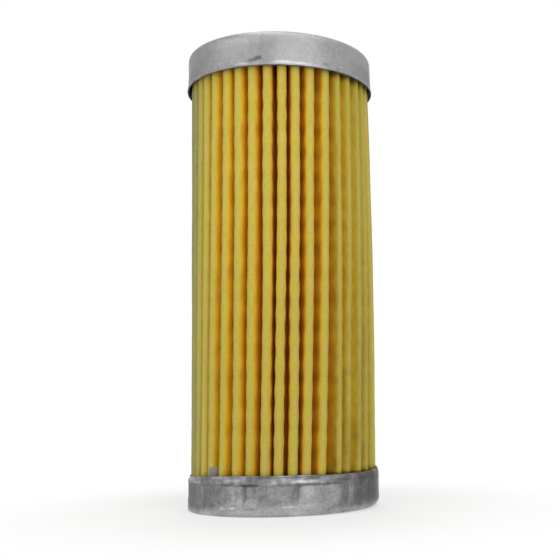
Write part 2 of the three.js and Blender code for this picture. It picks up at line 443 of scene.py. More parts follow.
def make_piece(name, points, faces, material, slot, *stands_for, attributes=None):
    """A smooth mesh object from points in millimetres and lists of faces, on the part's body.

    An attribute holds one number for each point, which the material reads by the attribute's name."""
    mesh = bpy.data.meshes.new(name)
    flat = (np.asarray(points).reshape(-1, 3) * MM).tolist()
    mesh.from_pydata(flat, [], [face for block in faces for face in block.tolist()])
    for label, values in (attributes or {}).items():
        mesh.attributes.new(label, "FLOAT", "POINT").data.foreach_set("value", np.ravel(values))
    weld(mesh)
    mesh.shade_smooth()
    mesh.materials.append(material)
    piece = bpy.data.objects.new(name, mesh)
    bpy.context.scene.collection.objects.link(piece)
    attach(piece, "root")
    if stands_for:
        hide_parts(*stands_for)
    triangles = sum(len(p.vertices) - 2 for p in mesh.polygons)
    print(f"{name}: {len(mesh.vertices)} points, {triangles} triangles")
    return piece


print("mesh helpers are ready")

# %% [markdown]
# ## Outlines
#
# The caps and the grommet are turned shapes. Drawn sheet metal is easiest as the line that the middle
# of the sheet follows, with rounded bends, given its thickness afterwards. The points on that line lie
# close together where the shape will be dented, and far apart where it stays plain.


# %% Outline helpers
def rounded_line(corners, reaches, steps=6):
    """A line whose corners are rounded.

    With u and v the unit directions back and on from corner C, and L its reach, the line follows
    C + L ((1 - t)^2 u + t^2 v) while t goes from 0 to 1."""
    corners = np.array(corners, float)
    t = np.linspace(0, 1, steps + 1)[:, None]
    parts = [corners[:1]]
    for before, corner, after, reach in zip(corners, corners[1:], corners[2:], reaches):
        back = (before - corner) / np.linalg.norm(before - corner)
        on = (after - corner) / np.linalg.norm(after - corner)
        parts.append(corner + reach * ((1 - t) ** 2 * back + t**2 * on))
    parts.append(corners[-1:])
    return np.concatenate(parts)


def respaced(line, spacing):
    """The same line with its points this far apart or a little less.

    Spacing is a length, or a function that gives one for each (radius, height) point."""
    def walk(points):
        return np.concatenate([[0], np.cumsum(np.linalg.norm(np.diff(points, axis=0), axis=1))])

    def at_runs(runs):
        return np.stack([np.interp(runs, walk(line), line[:, i]) for i in range(2)], axis=1)

    runs = np.linspace(0, walk(line)[-1], 2000)
    wanted = spacing(at_runs(runs)) if callable(spacing) else spacing + 0 * runs
    count = np.concatenate([[0], np.cumsum(np.diff(runs) / ((wanted[:-1] + wanted[1:]) / 2))])
    return at_runs(np.interp(np.linspace(0, count[-1], math.ceil(count[-1]) + 1), count, runs))


def sheet_section(middle, thickness, open_start=False, end_steps=4):
    """Outline of a sheet whose middle follows a line of (radius, height) points.

    Both faces stand half the thickness off the line along its normal, and each end is a half circle.
    An open start has none, because it lies on the axis."""
    ahead = np.gradient(middle, axis=0)
    ahead /= np.linalg.norm(ahead, axis=1, keepdims=True)
    out = np.stack([ahead[:, 1], -ahead[:, 0]], axis=1)
    half = thickness / 2
    sweep = np.linspace(0, math.pi, end_steps + 1)[1:-1, None]
    end = middle[-1] + half * (np.cos(sweep) * out[-1] + np.sin(sweep) * ahead[-1])
    start = middle[0] - half * (np.cos(sweep) * out[0] + np.sin(sweep) * ahead[0])
    parts = [middle + half * out, end, (middle - half * out)[::-1]]
    return np.concatenate(parts if open_start else [*parts, start])


def revolve(outline, columns):
    """A surface of revolution: outline point (r, z) goes to (r cos a, r sin a, z) at each angle a."""
    return around_axis(outline[:, :1], np.arange(columns) / columns * TURN, outline[:, 1:])


print("outline helpers are ready")

# %% [markdown]
# ## Unevenness and marks
#
# Real surfaces are uneven in two ways. A smooth random field gives the unevenness that nobody could
# draw by hand, and it comes out the same each time because its seed is fixed. What the photograph does
# show is placed one by one instead, as oval marks that colour a surface and push it in alike.


# %% Unevenness and marks
def ripple(angle, height, seed, around, along, waves=14):
    """A smooth random field on a cylinder, mostly from -1 to 1.

    It is a sum of cosines, each with a whole number of waves up to `around` in a full turn and up to
    `along` waves in a millimetre of height, at random phases."""
    draw = np.random.default_rng(seed)
    turns = draw.integers(-around, around + 1, waves)
    rates = draw.uniform(-along, along, waves) * TURN
    phases = draw.uniform(0, TURN, waves)
    angle, height = np.broadcast_arrays(angle, height)
    total = sum(np.cos(angle * n + height * k + p) for n, k, p in zip(turns, rates, phases))
    return np.clip(total / math.sqrt(waves), -1.4, 1.4) / 1.4


def ease(value, low, high):
    """0 up to low, 1 from high, and the smooth step 3 t^2 - 2 t^3 between them."""
    t = np.clip((value - low) / (high - low), 0, 1)
    return t * t * (3 - 2 * t)


def marked(angle, height, marks):
    """How strongly the listed marks colour points, and how far they push them in, in millimetres.

    A mark is (degrees to the right of the front, height, half its width in degrees, half its height,
    strength, dent). It has the shape |u|^3 + |v|^3 = 1, an oval with full corners, where u and v are the
    distances from its middle over its half sizes. Its cover falls from 1 to 0 along a smooth step
    across that border. Both sums are over strength or dent times cover."""
    front = (np.degrees(angle) + 90 + 180) % 360 - 180
    strength, dent = 0 * front, 0 * front
    for side, level, half_width, half_height, tone, push in marks:
        across, upright = np.abs(front - side) / half_width, np.abs(height - level) / half_height
        cover = 1 - ease(np.cbrt(across**3 + upright**3), 0.4, 1.4)
        strength, dent = strength + tone * cover, dent + push * cover
    return strength, dent


print("unevenness and marks are ready")

# %% [markdown]
# ## The top cap
#
# The cap is drawn from flat tinplate in a press: a wall, a rounded shoulder, a flat face, a seat sunk
# round the outlet and a collar turned down through it. The lip is flared outwards, so that it slips
# over the paper. Only the outline is made here, with its points closer together where the cap will be
# dented and worn.

# %% The top cap's outline
SHOULDER = 1.75  # reach of the rounded corners of both caps
SEAT_RADIUS, SEAT_DEPTH = 10.5, 1.4
COLLAR_RADIUS = 6.8  # to the middle of the sheet
COLLAR_END = TOP - SEAT_DEPTH - 3.6
LIP_EDGE = LIP + 0.15
FLARE, FLARE_HEIGHT = 0.1, 0.65  # how far the wall has spread where the lip's own flare begins, and where
TAPER_HEIGHT = 2.8  # the wall spreads below this height over the lip

top_middle = rounded_line(
    [
        (LIP_RADIUS - HALF_SHEET, LIP_EDGE + HALF_SHEET),
        (WALL_RADIUS + FLARE, LIP_EDGE + FLARE_HEIGHT),
        (WALL_RADIUS, LIP_EDGE + TAPER_HEIGHT),
        (WALL_RADIUS, TOP - HALF_SHEET),
        (SEAT_RADIUS + HALF_SHEET, TOP - HALF_SHEET),
        (SEAT_RADIUS + HALF_SHEET, TOP - SEAT_DEPTH - HALF_SHEET),
        (COLLAR_RADIUS, TOP - SEAT_DEPTH - HALF_SHEET),
        (COLLAR_RADIUS, COLLAR_END + HALF_SHEET),
    ],
    [0.4, 0.8, SHOULDER, 0.55, 0.5, 0.5],
)


def top_spacing(points):
    """Fine at the lip, coarser up the wall and over the shoulder, and coarse on the flat face."""
    radius, height = points.T
    return np.where(radius < SEAT_RADIUS + 3, 0.45, np.where(height < LIP + 1.6, 0.12, 0.25))


top_outline = sheet_section(respaced(top_middle, top_spacing), SHEET)
print("points on the top cap's outline:", len(top_outline))

# %% [markdown]
# A cap that was only spun would look machined. These helpers push a wall in unevenly, tip a piece out
# of square, and pull one side of a rounded corner out towards the sharp one, as a knock on the bench
# or a worn press does.


# %% Helpers for a knocked cap
LEAN = 0.009  # fall in height for each millimetre to the right
WALL_DENTS = 0.07  # greatest depth


def push_in(points, depth):
    """Moves points this far towards the axis, in place."""
    angle = polar(points)[0]
    points[..., 0] -= depth * np.cos(angle)
    points[..., 1] -= depth * np.sin(angle)


def press_wall(points, low, high, seed):
    """Pushes a cap's wall in by a smooth random depth, fading out below `low` and above `high`.

    It gives back the angles, the distances from the axis and the heights from before."""
    angle, radius = polar(points)
    height = points[..., 2].copy()
    fade = ease(height, low - 0.8, low) * (1 - ease(height, high, high + 1.2)) * ease(radius, 15.2, 16.5)
    push_in(points, WALL_DENTS * fade * (0.5 + 0.5 * ripple(angle, height, seed, 9, 0.08)))
    return angle, radius, height


def lean(points):
    """Tips a piece of the outlet end: its height falls in proportion to the distance from the left."""
    points[..., 2] -= LEAN * (points[..., 0] + LIP_RADIUS)
    return points


def tighten_corner(points, corner_height, side, width, tightness):
    """Pulls a cap's rounded corner towards the sharp one, most of all round one direction, in place.

    A point at a distance t from the sharp corner, along the radius or the height, loses a share of t,
    which falls off as a bell over the angle. The loss fades out over the next corner radius."""
    angle, radius = polar(points)
    away = (angle - math.radians(side) + math.pi) % TURN - math.pi
    share = tightness * np.exp(-((away / width) ** 2))
    rise = np.abs(points[..., 2] - corner_height)
    ramp = [0, SHOULDER, 2 * SHOULDER], [0, SHOULDER, 0]
    towards = np.sign(corner_height - TOP / 2)
    push_in(points, -share * np.interp(CAP_RADIUS - radius, *ramp))
    points[..., 2] += towards * share * np.interp(rise, *ramp) * ease(radius, 13.0, 15.0)


print(f"the outlet end falls {2 * LEAN * LIP_RADIUS:.2f} mm from left to right")

# %% [markdown]
# The marks below are what the photograph shows on the top cap: a scuff, and highlights on the lip and
# shade and light on the wall and the shoulder, which are painted.

# %% Marks on the top cap
TOP_MARKS = (
    (-12.4, 78.2, 2.1, 0.42, -0.75, 0.04),  # a dark scuff over the lip
    (-16.0, 77.85, 2.6, 0.36, -0.5, 0.0),  # its tail to the left
    (-23.0, 77.35, 4.0, 0.16, 0.5, 0.0),  # painted highlight on the lip left of the middle
    (2.0, 77.35, 5.0, 0.24, 0.45, -0.02),  # painted highlight on the lip right of the middle
    (12.0, 77.2, 5.0, 0.20, 0.36, -0.02),
    (20.0, 77.1, 4.0, 0.16, 0.12, 0.0),
    (28.0, 77.6, 2.0, 0.35, -0.25, 0.02),  # darker at the lip's right
    (36.5, 77.2, 1.8, 0.30, -0.25, 0.0),
    (-74.0, 79.0, 22.0, 4.0, -0.14, 0.0),  # painted shade at the left end
    (-68.0, 78.4, 14.0, 1.2, -0.14, 0.0),
    (62.0, 78.2, 16.0, 1.6, -0.18, 0.0),  # painted shade at the lower right end
    (78.0, 78.6, 13.0, 2.2, -0.22, 0.0),
    (10.0, 80.0, 9.0, 4.5, -0.07, 0.0),  # painted shade: a slightly darker middle
    (-22.0, 82.2, 16.0, 1.2, 0.14, 0.0),  # painted highlight on the shoulder
    (40.0, 80.0, 26.0, 4.5, 0.14, 0.0),  # painted light on the right half
)
print("marks on the top cap:", len(TOP_MARKS))

# %% [markdown]
# The outline is spun and then spoilt step by step: the shoulder is tightened at both sides, the wall is
# pushed in, the lip is beaten, the flat face sags a little and the whole cap leans. The lip's lowest
# edge is darkened as painted shade.

# %% The top cap
CAP_COLUMNS = 480
LIP_WAVE, LIP_DENTS, FACE_SAG = 0.05, 0.025, 0.03

top_points = revolve(top_outline, CAP_COLUMNS)
tighten_corner(top_points, TOP, side=-165, width=1.1, tightness=0.45)
tighten_corner(top_points, TOP, side=-5, width=0.7, tightness=0.2)
angle, radius, z = press_wall(top_points, LIP, TOP - 2.0, seed=3)
near_lip = 1 - ease(z, LIP, LIP + 1.2)
top_points[..., 2] += LIP_WAVE * near_lip * ripple(angle, 0 * z, 5, 7, 0.01)
push_in(top_points, LIP_DENTS * near_lip * (1 + ripple(angle, z, 7, 60, 0.2, waves=24)))
on_face = ease(z, TOP - 1.2, TOP - 0.4) * (1 - ease(radius, 14.5, 16.0))
top_points[..., 2] -= FACE_SAG * on_face * (1 + ripple(angle, radius, 8, 5, 0.05))
lean(top_points)
top_wear_and_painted_light, dent = marked(angle, top_points[..., 2], TOP_MARKS)
push_in(top_points, dent * near_lip)
top_wear_and_painted_light += 0.25 * near_lip * ripple(angle, z, 13, 40, 0.3, waves=24)
top_wear_and_painted_light *= ease(radius, 16.0, 16.9)
# painted shade along the lip's lowest edge
top_wear_and_painted_light -= 0.9 * (1 - ease(z, LIP_EDGE + 0.04, LIP_EDGE + 0.16))
make_piece(
    "top_cap_tinplate", top_points, [grid_quads(*top_points.shape[:2], loop_rows=True)],
    top_tinplate, "tinplate", "top_end_cap", attributes={"wear_and_painted_light": top_wear_and_painted_light},
)

# %% [markdown]
# ## The bottom cap
#
# The bottom cap is the same kind of cup, closed, with a socket pressed up into it for the bowl's
# spring. Its rim is crimped in against the paper, and the crimping rolled it further in at the left and
# a little at the right, so that its edge dips there.

# %% The bottom cap's outline and rim
SOCKET_RADIUS, SOCKET_DEPTH = 6.8, 4.8  # the radius is to the middle of the sheet
TUCK, TUCK_HEIGHT = 0.15, 1.6  # how far the rim is crimped in, and from how far below its edge
RIM_SLANT = 0.009  # fall in height for each millimetre to the left
RIM_DROP, DROP_WIDTH = 0.62, 0.62  # dip of the rim at the left, in millimetres and radians
RIGHT_DROP, RIGHT_WIDTH = 0.34, 0.62
RIGHT_DIP = math.radians(52 - 90)  # 52 degrees to the right of the front
RIM_UNEVENNESS = 0.05

bottom_middle = rounded_line(
    [
        (0.0, SOCKET_DEPTH + HALF_SHEET),
        (SOCKET_RADIUS, SOCKET_DEPTH + HALF_SHEET),
        (SOCKET_RADIUS, HALF_SHEET),
        (WALL_RADIUS, HALF_SHEET),
        (WALL_RADIUS, RIM - TUCK_HEIGHT),
        (WALL_RADIUS - TUCK, RIM - HALF_SHEET),
    ],
    [0.7, 0.6, SHOULDER, 0.25],
)


def bottom_spacing(points):
    """Coarse in the socket and on the flat face, finer up the wall and fine at the rim."""
    radius, height = points.T
    return np.where(radius < 14.5, 0.5, np.where(height > RIM - 2.2, 0.11, 0.2))


def rim_fall(angle):
    """How far the rim lies below its full height: it slants, it is uneven, and it dips at both sides."""
    leftness = np.exp(-((np.abs(np.abs(angle) - np.pi) / DROP_WIDTH) ** 2))
    rightness = np.exp(-(((angle - RIGHT_DIP) / RIGHT_WIDTH) ** 2))
    uneven = RIM_UNEVENNESS * (1 + ripple(angle, 0 * angle, 23, 15, 0.01))
    slant = RIM_SLANT * CAP_RADIUS * (1 - np.cos(angle))
    return slant + uneven + RIM_DROP * leftness + RIGHT_DROP * rightness


bottom_outline = sheet_section(respaced(bottom_middle, bottom_spacing), SHEET, open_start=True)
bottom_outline[[0, -1], 0] = 0.0
print("points on the bottom cap's outline:", len(bottom_outline))

# %% [markdown]
# The creases, the grime and the light and shade that the photograph shows on the bottom cap are
# marks, so their highlights, reflections and shade are painted.

# %% Marks on the bottom cap
BOTTOM_MARKS = (
    (-62.0, 5.75, 11.0, 0.50, 0.18, 0.0),  # painted highlight: pale band at the left end of the rim
    (-88.0, 6.85, 24.0, 0.5, 0.0, 0.28),  # rim closed on the paper there
    (-30.0, 6.16, 5.5, 0.36, 0.36, -0.02),  # painted highlight on the ridge left of the middle
    (-13.0, 6.75, 9.0, 0.3, -0.5, 0.02),  # painted shade over that ridge and at its right
    (-18.7, 6.2, 2.6, 0.34, -0.38, 0.0),
    (-11.0, 6.0, 2.0, 0.4, -0.25, 0.0),
    (-19.5, 5.2, 6.0, 0.26, -0.7, 0.07),  # crease with painted shade under that ridge
    (-34.0, 5.25, 4.0, 0.16, -0.18, 0.02),
    (-37.0, 5.55, 2.4, 0.3, 0.2, 0.0),  # painted highlight under its left end
    (3.0, 6.0, 5.0, 0.40, 0.12, -0.02),  # painted highlight on the ridge right of the middle
    (4.5, 5.75, 1.8, 0.3, 0.2, 0.0),
    (7.8, 5.9, 3.0, 0.42, 0.3, 0.0),
    (13.0, 5.8, 6.5, 0.36, 0.2, -0.03),
    (11.8, 5.72, 1.6, 0.32, 0.4, 0.0),
    (16.3, 5.9, 1.6, 0.4, -0.2, 0.0),  # dull spot in it
    (-41.5, 6.25, 3.4, 0.5, -0.42, 0.0),  # darker at the left
    (5.0, 6.7, 9.0, 0.14, -0.3, 0.02),  # painted shade over the right ridge
    (16.5, 6.6, 3.4, 0.34, -0.6, 0.0),
    (20.0, 6.9, 2.5, 0.18, -0.5, 0.0),
    (27.0, 6.85, 5.0, 0.12, -0.3, 0.0),
    (40.0, 6.3, 5.5, 0.18, 0.16, 0.0),  # painted highlight on the edge further right
    (16.0, 5.27, 4.5, 0.18, -0.4, 0.05),  # creases with painted shade under the right ridge
    (25.5, 5.45, 1.2, 0.22, -0.45, 0.04),
    (29.5, 5.4, 1.4, 0.22, -0.45, 0.04),
    (34.0, 6.0, 6.0, 0.4, -0.42, 0.03),
    (56.0, 6.3, 14.0, 0.85, -0.8, 0.0),  # grime and painted shade at the right end of the rim
    (70.0, 6.1, 12.0, 1.1, -0.45, 0.0),
    (51.0, 5.3, 4.0, 0.8, -0.32, 0.0),
    (7.8, 4.1, 0.9, 1.2, -0.28, 0.03),  # painted reflections on the wall's facets
    (14.0, 3.9, 3.6, 1.4, 0.18, 0.0),
    (20.5, 3.9, 2.0, 1.3, 0.06, 0.0),
    (29.5, 3.6, 3.5, 1.8, 0.12, 0.0),
    (38.0, 3.4, 5.0, 1.8, 0.03, 0.0),
    (47.8, 3.5, 4.3, 2.1, -0.62, 0.02),  # painted shade on a facet near the right end
    (63.0, 3.4, 12.0, 2.4, -0.66, 0.0),  # painted shade at the right end
    (-78.0, 3.4, 18.0, 2.4, -0.45, 0.0),  # painted shade at the left end
    (-3.0, 3.8, 9.0, 1.9, 0.2, 0.0),  # painted light on the middle
    (-51.5, 3.6, 1.2, 2.0, -0.3, 0.02),  # painted shade on facets in the left half
    (-42.0, 4.3, 2.6, 1.2, -0.15, 0.0),
    (-22.5, 4.3, 1.6, 1.2, -0.35, 0.02),
    (-19.5, 4.85, 5.0, 0.6, -0.2, 0.0),  # shade under the left crease
    (-33.0, 1.5, 7.0, 0.22, 0.22, 0.0),  # painted highlight on the lower corner
    (-38.0, 1.5, 1.6, 0.16, 0.35, -0.02),
    (-30.0, 1.55, 1.8, 0.16, 0.4, -0.02),
    (-17.0, 1.3, 5.5, 0.10, -0.3, 0.02),  # a scratch in it
    (3.5, 1.6, 4.5, 0.12, 0.4, -0.02),
    (18.0, 1.6, 9.0, 0.5, 0.15, 0.0),
    (-2.0, 1.1, 24.0, 0.8, 0.2, 0.0),
    (-20.0, 2.3, 9.0, 0.9, 0.15, 0.0),
    (-72.0, 1.0, 22.0, 0.8, -0.3, 0.0),  # painted shade at the left
)
print("marks on the bottom cap:", len(BOTTOM_MARKS))

# %% [markdown]
# The crimp left a crumpled band at the rim, over a crease. The crimping tool's jaws closed on the wall
# as well and left upright facets on it. Facets and crumples also get painted reflections in their tone,
# the crease painted shade, and the lower corner a painted highlight in places. Facets, crumples and the
# crease are random all round.


# %% The bottom cap
FACETS, FACET_DEPTH = 46, 0.035
WALL_PITS = 0.012
CREASE_DEPTH, CRUMPLE_DEPTH = 0.05, 0.022
BAND_LOW = RIM - 1.75  # the crumpled band reaches from the crease up to the rim


def facet(angle, seed, count):
    """Tone from -1 to 1 of upright facets: steps at random angles, each with a random tone."""
    draw = np.random.default_rng(seed)
    edges, tones = np.sort(draw.uniform(0, TURN, count)), draw.uniform(-1, 1, count)
    return tones[np.searchsorted(edges, angle % TURN) % count]


bottom_points = revolve(bottom_outline, CAP_COLUMNS)
tighten_corner(bottom_points, 0.0, side=-165, width=1.15, tightness=0.85)
angle, radius, z = press_wall(bottom_points, 2.4, RIM - 1.8, seed=11)
outside = ease(radius, 15.8, 16.6)
on_wall = ease(z, 1.6, 2.8) * (1 - ease(z, RIM - 2.1, RIM - 1.7)) * outside
on_band = ease(z, BAND_LOW, RIM - 1.35) * outside
facets = facet(angle + 0.01 * ripple(0 * angle, z, 17, 1, 0.3), 61, FACETS)
crumple = ripple(angle, z, 19, 70, 0.35, waves=30)
crease_height = BAND_LOW + 0.12 * ripple(angle, 0 * z, 33, 18, 0.01)
crease = np.exp(-(((z - crease_height) / 0.17) ** 2)) * outside
crease *= (0.35 + 0.9 * ripple(angle, 0 * z, 21, 26, 0.01)).clip(0)
marks, dent = marked(angle, z, BOTTOM_MARKS)
push_in(bottom_points, FACET_DEPTH * (1 + facets) * on_wall)
push_in(bottom_points, WALL_PITS * (1 + ripple(angle, z, 35, 80, 0.7, waves=36)) * on_wall)
push_in(bottom_points, CREASE_DEPTH * crease + CRUMPLE_DEPTH * crumple * on_band + dent * outside)
bottom_points[..., 2] -= ease(z, RIM - 2.2, RIM - 0.4) * rim_fall(angle)
# painted highlight on the lower corner, in places
corner = (0.55 + 0.2 * ripple(angle, z, 27, 30, 0.2, waves=24)) * (1 - ease(z, 0.2, 1.9))
# facets and crumples get painted reflections, the crease painted shade
bottom_wear_and_painted_light = (0.16 * facets * on_wall - 0.4 * crease + 0.3 * crumple * on_band + marks) * outside
bottom_wear_and_painted_light += corner * ease(radius, 14.5, 15.5)
make_piece(
    "bottom_cap_tinplate", bottom_points, [grid_quads(*bottom_points.shape[:2])],
    bottom_tinplate_painted_darker, "tinplate", "bottom_end_cap", attributes={"wear_and_painted_light": bottom_wear_and_painted_light},
)

# %% [markdown]
# ## Where the pleats stand
#
# A hand-set pleat pack is never quite even. The eighteen pleats that the photograph shows stand up to
# two and a half degrees from their even places, and some lean by a degree or two from the bottom to the
# top. Both are written down in degrees, from left to right. The pleats that the photograph doesn't show
# get small random shifts instead. The whole pack is also twisted a little, so the pleats lean to the
# right, and it bulges between the caps.

# %% Where the pleats stand
PLEATS = 40
SEAM_DIRECTION = 88.6  # degrees anticlockwise from +X, as in the frame
FIRST_SEEN = 13  # counted anticlockwise from the seam
SEEN_SHIFTS = (
    0.0, -0.6, -1.5, -0.4, 0.0, 0.2, 0.7, 0.3, -0.2, -0.3, 0.8, 1.9, 1.1, 2.4, 2.1, 2.2, 1.6, 1.0,
)
SEEN_LEANS = (
    0.7, -0.5, 0.4, 0.1, -1.2, -1.2, -0.8, 0.2, 0.0, 1.2, 2.2, 0.0, 2.2, 2.1, 1.8, 1.0, 0.0, 0.0,
)
TWIST = 0.064  # degrees for each millimetre of height
BOW, SWELL = 0.2, 0.15  # bulge at mid height, to the right and all round

pitch = TURN / PLEATS
draw = np.random.default_rng(41)
shifts = draw.uniform(-0.5, 0.5, PLEATS + 1)
shifts[[0, PLEATS]] = 0.0
shifts[FIRST_SEEN : FIRST_SEEN + len(SEEN_SHIFTS)] = SEEN_SHIFTS
leans = np.zeros(PLEATS + 1)
leans[FIRST_SEEN : FIRST_SEEN + len(SEEN_LEANS)] = SEEN_LEANS
tip_angles = math.radians(SEAM_DIRECTION) + np.arange(PLEATS + 1) * pitch + np.radians(shifts)
gaps = np.degrees(np.diff(tip_angles))
print(f"{PLEATS} pleats, {gaps.min():.1f} to {gaps.max():.1f} degrees apart")


def arch(height):
    """0 at both caps and 1 halfway between them, along half a sine wave."""
    return np.sin(np.pi * np.clip((height - RIM) / (LIP - RIM), 0, 1))


def settle(plan, height):
    """Plan points of the straight pack, as they stand in the real one.

    They turn by the twist times the height above the middle, and move to the right by the bow."""
    turned = math.radians(TWIST) * (height - (RIM + LIP) / 2)
    x = plan[..., 0] * np.cos(turned) - plan[..., 1] * np.sin(turned) + BOW * arch(height)
    y = plan[..., 0] * np.sin(turned) + plan[..., 1] * np.cos(turned)
    return np.stack([x, y, height + 0 * x], axis=-1)


# %% [markdown]
# ## The pleated paper
#
# The paper is one long strip, so it is built as one: its middle line in plan runs from one ply of the
# seam, round every inner fold and outer tip, to the other ply. That line is worked out at each height,
# because the tips wander a little on their way up, and the two faces then stand half the paper's
# thickness off it. The paper is also embossed with shallow grooves that run round it, which is why the
# dark gaps between the pleats swell and narrow every four millimetres.

# %% The middle line of the paper
PAPER = 0.36
TIP_FOLD, INNER_FOLD = 0.65, 0.314  # radii to the middle of the paper
GROOVE_PITCH, GROOVE_DEPTH = 4.25, 0.065
CROWN_CALM = 0.8  # share of the grooves that the crowns of the tips lack
WANDER, SINK = 0.07, 0.03  # how far a tip strays sideways and inwards
TIGHTENING = 0.04  # share of a tip's radius that it loses on average
INNER_SHARE = 0.4  # of the shift of the neighbouring tips
TIP_STEPS, FOLD_STEPS = 6, 2
FLANK_SHARES = np.array([0.12, 0.45])  # places of the points on a flank, from the tip inwards
SEAM_PLY, SEAM_SET_BACK = 0.33, 0.5  # how far an end ply lies off the seam's middle, and in from the tips
TUBE_GAP = 0.5  # between the tube and the inner folds
tip_reach = PAPER_RADIUS - PAPER / 2 - TIP_FOLD
fold_reach = TUBE_RADIUS + TUBE_GAP + PAPER / 2 + INNER_FOLD


def in_plan(angle, along, across):
    """Plan points that lie this far out along the direction of an angle, and this far across it."""
    x = along * np.cos(angle) - across * np.sin(angle)
    y = along * np.sin(angle) + across * np.cos(angle)
    return np.stack([x, y], axis=-1)


def flank(outer, inner, inwards):
    """Points between an outer and an inner point, at the flank's shares of the way in."""
    shares = FLANK_SHARES if inwards else FLANK_SHARES[::-1]
    return outer[..., None, :] + shares[:, None] * (inner - outer)[..., None, :]


def tip_arcs(h):
    """The outer folds: half circles about centres whose direction and radius wander with height."""
    number = np.arange(1, PLEATS)
    free = arch(h) ** 0.5
    stray = WANDER * free * ripple(number * 2.4, h, 29, 6, 0.03)
    sink = SINK * (1 + ripple(number * 2.4, h, 31, 9, 0.05))
    fold = TIP_FOLD * (1 - TIGHTENING * (1 + ripple(number * 1.7, h, 37, 8, 0.04)))
    centre = tip_reach + SWELL * arch(h) + TIP_FOLD - fold - sink
    sweep = np.linspace(-math.pi / 2, math.pi / 2, TIP_STEPS + 1)
    lean = np.radians(leans[1:-1]) * (h - (RIM + LIP) / 2) / (LIP - RIM)
    direction = tip_angles[1:-1] + lean + stray / tip_reach
    return in_plan(
        direction[..., None],
        centre[..., None] + fold[..., None] * np.cos(sweep),
        fold[..., None] * np.sin(sweep),
    )


def fold_arcs(h):
    """The inner folds: half circles that open outwards. They stay closer to their even places than the
    tips, because the tube holds them, so a pleat whose tip is shifted leans over."""
    even = math.radians(SEAM_DIRECTION) + (np.arange(PLEATS) + 0.5) * pitch
    direction = even + INNER_SHARE * ((tip_angles[:-1] + tip_angles[1:]) / 2 - even) + 0 * h
    sweep = np.linspace(-math.pi / 2, -1.5 * math.pi, FOLD_STEPS + 1)
    return in_plan(
        direction[..., None], fold_reach + INNER_FOLD * np.cos(sweep), INNER_FOLD * np.sin(sweep)
    )


def paper_middle(heights):
    """The middle line of the straight pack's paper at each height, as an array (height, station, xy).

    Arcs round the tips and the inner folds are joined by flanks, which are straight lines."""
    h = heights[:, None]
    tip, inner = tip_arcs(h), fold_arcs(h)
    rising = flank(tip[..., 0, :], inner[:, :-1, -1, :], inwards=False)
    falling = flank(tip[..., -1, :], inner[:, 1:, 0, :], inwards=True)
    pleats = np.concatenate([inner[:, :-1], rising, tip, falling], axis=2)
    seam = math.radians(SEAM_DIRECTION) + 0 * heights
    first_end = in_plan(seam, PAPER_RADIUS - SEAM_SET_BACK, SEAM_PLY)
    last_end = in_plan(seam, PAPER_RADIUS - SEAM_SET_BACK, -SEAM_PLY)
    first_ply = flank(first_end, inner[:, 0, 0, :], inwards=True)
    last_ply = flank(last_end, inner[:, -1, -1, :], inwards=False)
    pleats = pleats.reshape(len(heights), -1, 2)
    line = [first_end[:, None], first_ply, pleats, inner[:, -1], last_ply, last_end[:, None]]
    return np.concatenate(line, axis=1)


print("stations round the paper:", paper_middle(np.array([0.0, 1.0])).shape[1])

# %% [markdown]
# The outer face shows, so it has a row of points every half millimetre or so, which is enough for the
# grooves. The inner face is hidden inside the pleats and needs only every fifth of those rows.


# %% The two faces of the paper
def paper_face(heights, side):
    """One face of the paper: its points (height, station, xyz), how deep each lies in the folds, and
    the wave of the grooves there, from -1 in a hollow to 1.

    Side is 1 outwards and -1 inwards. Each point of the middle line moves along the line's normal by
    half the paper's thickness, and by the grooves' depth times the cosine of the height over their
    pitch. The grooves are deepest at the sides of the tips, shallow on their crowns and gone at the
    inner folds. Near the caps and in the glued seam the paper is pressed flat."""
    middle = paper_middle(heights)
    ahead = np.gradient(middle, axis=1)
    ahead /= np.linalg.norm(ahead, axis=-1, keepdims=True)
    normal = np.stack([ahead[..., 1], -ahead[..., 0]], axis=-1)
    direction, radius = polar(middle)
    h = heights[:, None]
    wave = np.cos(TURN * h / GROOVE_PITCH + 0.9 * ripple(direction, h, 43, 5, 0.02))
    strength = 0.7 + 0.3 * ripple(direction, h, 47, 20, 0.03)
    strength *= ease(radius, fold_reach + 0.5, tip_reach - 0.8) * ease(arch(h), 0.0, 0.25)
    strength *= 1 - CROWN_CALM * ease(radius, tip_reach + 0.2, tip_reach + 0.75)
    from_seam = np.abs((direction - math.radians(SEAM_DIRECTION) + math.pi) % TURN - math.pi)
    strength *= ease(from_seam, 0.05, 0.1)
    offset = side * PAPER / 2 + GROOVE_DEPTH * strength * wave
    depth = PAPER_RADIUS - PAPER / 2 + SWELL * arch(h) - radius
    return settle(middle + offset[..., None] * normal, h), depth, wave


OUTER_ROWS, ROWS_PER_INNER = 141, 5
outer_heights = np.linspace(paper_low[2], paper_high[2], OUTER_ROWS)
inner_heights = outer_heights[::ROWS_PER_INNER]
outer_face, outer_depth, outer_wave = paper_face(outer_heights, 1)
inner_face, inner_depth, inner_wave = paper_face(inner_heights, -1)
stations = outer_face.shape[1]
inner_first = outer_face.shape[0] * stations
outer_quads = grid_quads(OUTER_ROWS, stations, loop_columns=False)
inner_quads = grid_quads(len(inner_heights), stations, loop_columns=False, first=inner_first)[:, ::-1]
print(f"outer face {outer_face.shape[:2]}, inner face {inner_face.shape[:2]}")

# %% [markdown]
# The two faces have to meet at the paper's four edges to make a closed sheet. Along the top and the
# bottom they have as many points as each other, so a row of quads joins them. At the two plies of the
# seam the outer face has five times as many rows, so each step of the inner one is joined by a fan.


